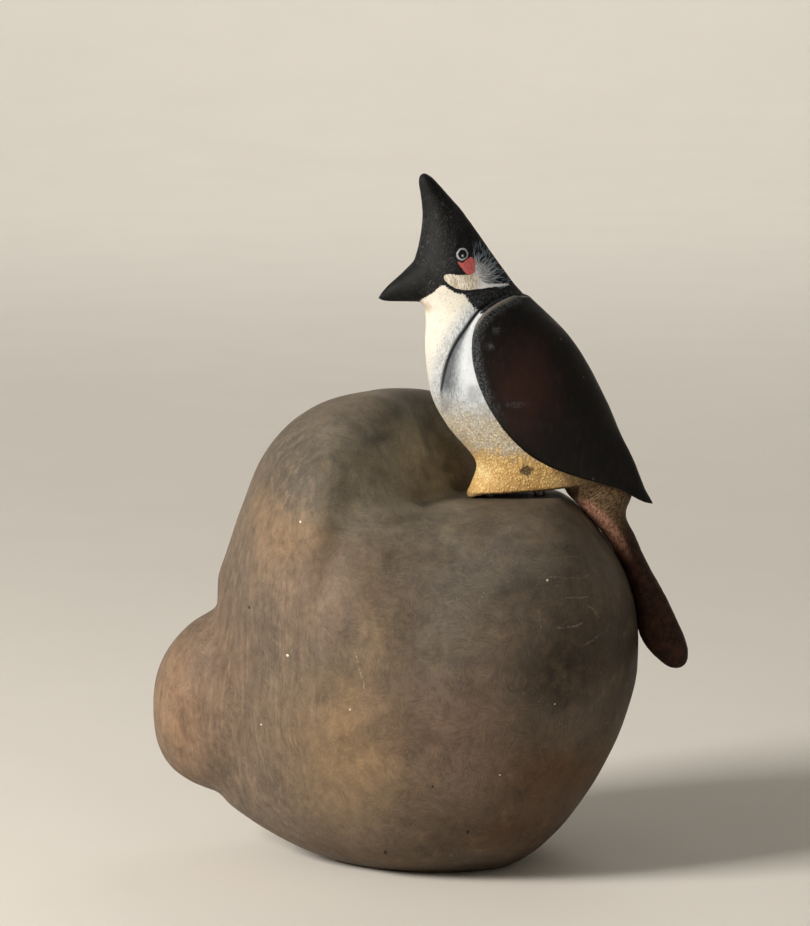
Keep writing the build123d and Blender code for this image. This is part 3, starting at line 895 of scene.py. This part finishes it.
def fan_mask(p):
    """Strokes that fan out behind the cheek: how strong, and how far out, each place is."""
    across, up = p.from_place(FAN_ROOT)
    reach = p.math("SQRT", p.plus(p.times(across, across), p.times(up, up)))
    angle = p.math("ARCTAN2", up, across)
    bend = p.swing(p.noise(3.0, 1, shift=2), 0.25)
    polar = p.add(
        "ShaderNodeCombineXYZ", p.plus(angle, bend), p.times(reach, 0.016), p.times(p.y, 0.01)
    ).outputs[0]
    strokes = p.noise(0.030, 1, 0.5, spot=polar)
    share = p.math("DIVIDE", reach, p.band(angle, 0.1, 1.5, 10.4, 8.6))
    gate = p.band(share, 0.10, 1.0, 0.40, 0.57)
    mask = p.band(p.math("SUBTRACT", strokes, gate), -0.03, 0.05)
    window = p.times(p.band(angle, -0.46, -0.36), p.band(angle, 1.60, 1.40))
    window = p.times(window, p.band(reach, 0.4, 1.2))
    return p.times(mask, window, p.band(share, 1.10, 0.90)), share


def head_colours(p, colour, fine):
    """Cheek, rouge, fan and eye over the black head."""
    wander = p.swing(p.noise(0.7, 2, shift=6), 0.5)
    fan, share = fan_mask(p)
    fan_tone = p.mix(p.band(share, 0.2, 0.8), paint(222, 226, 230), paint(120, 138, 156))
    colour = p.mix(p.times(fan, 0.92), colour, fan_tone)
    strokes = p.noise(0.32, 2, 0.6, stretch=(1, 1, 0.16), shift=4)
    cream = p.mix(p.band(strokes, 0.42, 0.60, 0, 0.75), paint(232, 224, 206), paint(164, 152, 134))
    cream = p.mix(p.times(p.band(fine, 0.5, 0.7), 0.5), cream, paint(120, 110, 98))
    cream = p.mix(p.band(p.x, 13.5, 16.5), cream, paint(240, 242, 246))
    cheek = p.band(p.plus(p.attribute("cheek"), wander), -0.06, 0.10)
    colour = p.mix(cheek, colour, cream)
    blush = p.mix(p.band(strokes, 0.42, 0.62, 0, 0.6), paint(206, 108, 106), paint(160, 66, 66))
    rouge = p.band(p.plus(p.attribute("rouge"), wander), -0.06, 0.12)
    colour = p.mix(p.times(rouge, 0.92), colour, blush)
    line = p.band(p.plus(p.attribute("cheek_line"), p.times(wander, 0.4)), 0.34, 0.20)
    colour = p.mix(line, colour, paint(24, 24, 26))
    eye = p.distance(EYE)
    colour = p.mix(p.band(eye, 1.62, 1.48), colour, paint(14, 14, 15))
    uneven = p.plus(eye, p.swing(p.noise(0.9, 1, shift=8), 0.5))
    ring = p.band(p.math("ABSOLUTE", p.math("SUBTRACT", uneven, 1.32)), 0.30, 0.12)
    colour = p.mix(p.times(ring, 0.85), colour, paint(186, 190, 196))
    glint = p.band(p.distance((EYE[0] + 0.05, EYE[1] - 0.35)), 0.42, 0.16)
    return p.mix(glint, colour, paint(176, 178, 180))


def black_colours(p, fine):
    """The brushed black of head, crest and collar, and the grey flecks rubbed through it."""
    scuff = p.noise(0.42, 4, 0.8, stretch=(1, 1, 0.7), shift=12, spot=p.tilted(-0.5))
    patches = p.band(p.noise(2.2, 2, 0.6, shift=16), 0.40, 0.60, 0.2, 1.0)
    scuff = p.times(p.band(scuff, 0.48, 0.64), patches)
    open_patch = p.plus(p.distance((3.5, 160), 8, 15), p.noise(3, 2, shift=14))
    open_patch = p.band(open_patch, 1.7, 0.9, 0.15, 0.75)
    greyer = p.band(p.noise(5, 2, shift=15), 0.45, 0.65, 0, 0.5)
    black = p.mix(greyer, paint(14, 14, 14), paint(28, 29, 29))
    black = p.mix(p.times(scuff, open_patch), black, paint(90, 92, 92))
    collar = p.times(p.band(p.z, 151.5, 149), p.band(p.x, 9, 12))
    collar = p.times(collar, p.band(fine, 0.45, 0.68), 0.55)
    return p.mix(collar, black, paint(84, 90, 96)), scuff


def bird_paint():
    """Brushed artist's paint on carved wood, matte and a little rough, with painted shade in the
    arc's groove and under the sole and a painted highlight on the toe.
    """
    p = Paint("bird_paint_and_painted_shade", Specular_IOR_Level=0.16)
    pale, fine, coarse, grains = breast_colours(p)
    pale = tail_colours(p, pale, coarse)
    pale = arc_colours(p, pale, coarse)
    wear = p.noise(0.9, 3, 0.7, shift=19)
    knot = p.plus(p.distance(KNOT, 1.7, 1.6), p.swing(wear, 1.8))
    pale = p.mix(p.times(p.band(knot, 1.15, 0.7), 0.85), pale, paint(62, 50, 40))
    stain = p.plus(p.distance((0.9, 145.2), 2.2, 1.5), p.swing(fine, 2.0))
    pale = p.mix(p.times(p.band(stain, 1.2, 0.4), 0.5), pale, paint(150, 118, 84))
    black, scuff = black_colours(p, fine)
    ragged = p.swing(fine, p.band(p.x, 8, 11, 1.2, 3.6))
    edge = p.plus(p.attribute("light"), ragged)
    colour = p.mix(p.band(edge, -0.10, 0.14), black, pale)
    colour = head_colours(p, colour, fine)
    dots = p.times(p.specks(2.0, 0.17, shift=3), p.band(p.attribute("light"), 0, 0.4))
    colour = p.mix(p.times(dots, 0.7), colour, paint(78, 72, 68))
    roughness = p.band(p.attribute("light"), -0.1, 0.2, 0.56, 0.68)
    foot = p.times(p.band(p.z, 112, 104), p.band(p.x, 52, 40))
    ripple = p.noise(1.5, 2, shift=21)
    height = p.plus(p.times(fine, 0.08), p.times(ripple, 0.06), p.times(scuff, 0.05))
    belly = p.band(p.z, 126, 114)
    rise = p.plus(p.times(belly, 0.06), p.times(foot, 0.10))
    return p.finish(colour, roughness, p.plus(height, p.times(grains, rise)))


# -------- wings

WING_SCUFFS = (  # x, z, reach along x and z
    (19.4, 140.4, 1.6, 1.3), (17.9, 136.4, 1.5, 1.3), (24.5, 121.5, 3.5, 1.0),
)


def shape_wing(node):
    """An applied wing, with its edge rounded over and a faint unevenness."""
    form = Form(node + "_visual", [node], WING_VOXEL)
    form.points = form.relaxed(7)
    heights = 0.10 * form.noise(9, 41) + 0.04 * form.noise(2.6, 42)
    form.push(heights - 0.05)
    rim, _, _ = line_distance(form.side_view(), smooth_line(WING_EDGE))
    form.store("rim", rim)
    form.write()
    return form.piece


def wing_paint():
    """Near-black lacquer over reddish wood, rubbed along its front edge, with a worn top rim that
    carries a painted highlight.
    """
    p = Paint("wing_lacquer_and_painted_highlight", Specular_IOR_Level=0.2)
    grain = p.noise(0.8, 3, 0.6, stretch=(1, 1, 0.22), shift=2)
    cloud = p.noise(8, 3, 0.6, shift=4)
    rim = p.attribute("rim")
    middle = p.band(p.plus(p.distance((28, 126), 11, 17), p.times(cloud, 1.1)), 1.75, 0.6)
    colour = p.mix(p.times(middle, 0.8), paint(9, 7, 6), paint(46, 24, 17))
    colour = p.mix(p.times(p.band(grain, 0.5, 0.72), 0.3), colour, paint(56, 40, 33))
    strip = p.plus(rim, p.swing(p.noise(2.0, 3, 0.7, shift=6), 3.4))
    flecks = p.band(p.noise(0.5, 3, 0.7), 0.40, 0.60)
    rubbed = p.times(p.band(strip, 3.6, 0.8), p.band(p.z, 114, 126), flecks)
    colour = p.mix(p.times(rubbed, 0.65), colour, paint(92, 98, 102))
    # The top rim: a worn, polished edge with a painted highlight along its bevel
    top = p.times(p.band(rim, 1.3, 0.5), p.band(p.z, 139, 143), p.band(p.x, 27, 22))
    colour = p.mix(p.times(top, 0.7), colour, paint(124, 118, 110))
    scuffs = 0.0
    for x, z, wide, tall in WING_SCUFFS:
        spread = p.plus(p.distance((x, z), wide, tall), p.times(p.noise(0.8, 3, 0.7, shift=x), 1.6))
        scuffs = p.largest(scuffs, p.band(spread, 1.9, 0.9))
    scuffs = p.times(scuffs, p.band(p.noise(0.4, 3, 0.7, shift=9), 0.42, 0.6))
    colour = p.mix(p.times(scuffs, 0.5), colour, paint(92, 96, 98))
    nicks = p.specks(6.5, 0.24, shift=5, stretch=(1, 1, 0.6))
    colour = p.mix(p.times(nicks, 0.45), colour, paint(150, 132, 118))
    roughness = p.band(p.plus(grain, cloud), 0.8, 1.25, 0.42, 0.58)
    height = p.plus(p.times(grain, 0.03), p.times(cloud, 0.10), p.times(rubbed, 0.03))
    return p.finish(colour, roughness, height)


# -------- pins


def pin_paint():
    """Drawn steel wire, with fine rings and a little tarnish."""
    p = Paint("pin_drawn_steel", Metallic=1.0)
    rings = p.noise(0.35, 2, 0.6, stretch=(0.1, 0.1, 1))
    tarnish = p.noise(1.8, 3, 0.6, shift=2)
    colour = p.mix(p.band(tarnish, 0.45, 0.7), paint(150, 146, 140), paint(104, 94, 82))
    roughness = p.band(p.plus(rings, tarnish), 0.8, 1.2, 0.28, 0.48)
    return p.finish(colour, roughness, p.times(rings, 0.02))


# -------- studio


def make_floor():
    """A pale floor that curves up to a wall far away on every side, all metres."""
    reach, bend, top, steps = 1.8, 0.8, 2.4, 10
    profile = [(0.0, 0.0), (0.4, 0.0), (1.0, 0.0), (reach, 0.0)]
    for step in range(1, steps + 1):
        turn = math.pi / 2 * step / steps
        profile.append((reach + bend * math.sin(turn), bend * (1 - math.cos(turn))))
    profile.append((reach + bend, top))
    room = bmesh.new()
    line = [room.verts.new((radius, 0, height)) for radius, height in profile]
    edges = [room.edges.new(pair) for pair in zip(line, line[1:])]
    bmesh.ops.spin(
        room, geom=line + edges, axis=(0, 0, 1), cent=(0, 0, 0), steps=96, angle=2 * math.pi
    )
    bmesh.ops.remove_doubles(room, verts=room.verts, dist=1e-5)
    bmesh.ops.recalc_face_normals(room, faces=room.faces)
    for face in room.faces:
        face.smooth = True
    mesh = bpy.data.meshes.new("floor")
    room.to_mesh(mesh)
    room.free()
    floor = bpy.data.objects.new("floor", mesh)
    SCENE.collection.objects.link(floor)
    p = Paint("floor_paper", Specular_IOR_Level=0.2)
    soft = p.noise(60, 3, 0.5)
    colour = p.mix(soft, paint(228, 224, 216), paint(234, 230, 222))
    mesh.materials.append(p.finish(colour, 0.75, p.times(p.noise(0.8, 2), 0.02)))


def make_light(name, place, aim, size, watts, tint):
    """A soft square lamp, in metres and watts."""
    lamp = bpy.data.lights.new(name, "AREA")
    lamp.size = size
    lamp.energy = watts
    lamp.color = tint
    holder = bpy.data.objects.new(name, lamp)
    holder.location = place
    holder.rotation_euler = (Vector(aim) - Vector(place)).to_track_quat("-Z", "Y").to_euler()
    SCENE.collection.objects.link(holder)


def make_studio():
    """Floor, lamps and the pale surroundings."""
    make_floor()
    make_light("key", (-0.98, -0.50, 0.66), (0, 0, 0.09), 0.42, 19.0, (1.0, 0.95, 0.89))
    make_light("fill", (0.80, -0.90, 0.50), (0, 0, 0.08), 0.90, 0.4, (1.0, 0.97, 0.93))
    make_light("rim", (0.30, 0.90, 0.90), (0, 0, 0.10), 0.60, 1.4, (1.0, 0.98, 0.95))
    make_light("backdrop", (0, 1.60, 1.20), (0, 2.60, 0.20), 1.20, 10.0, (1.0, 0.97, 0.93))
    world = bpy.data.worlds.new("surroundings")
    world.use_nodes = True
    background = world.node_tree.nodes["Background"]
    background.inputs["Color"].default_value = (1.0, 0.96, 0.90, 1)
    background.inputs["Strength"].default_value = 0.16
    SCENE.world = world
    SCENE.view_settings.view_transform = "Standard"


def make_camera():
    """Looks along +Y, nine degrees down, from the distance that frames the whole object."""
    lens, sensor, framed = 200.0, 36.0, 240.8
    down = math.radians(9)
    target = Vector((-4.03, 0, 103.95)) * MM
    away = framed * lens / sensor * MM
    data = bpy.data.cameras.new("camera")
    data.lens = lens
    data.sensor_width = sensor
    data.clip_start = 0.01
    camera = bpy.data.objects.new("camera", data)
    camera.location = target + away * Vector((0, -math.cos(down), math.sin(down)))
    camera.rotation_euler = (target - camera.location).to_track_quat("-Z", "Y").to_euler()
    SCENE.collection.objects.link(camera)
    SCENE.camera = camera


# -------- all of it

make_camera()
make_studio()

hand_over(shape_boulder(), "boulder", "boulder", boulder_paint())
brushed = bird_paint()
carving, tail = shape_bird()
hand_over(carving, "bird_body", "bird", brushed)
hand_over(tail, "tail", "bird", brushed)
lacquer = wing_paint()
for wing in ("wing_left", "wing_right"):
    hand_over(shape_wing(wing), wing, "bird", lacquer)
steel = pin_paint()
for pin in ("pin_front", "pin_rear"):
    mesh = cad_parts[pin].data
    mesh.materials.clear()
    mesh.materials.append(steel)
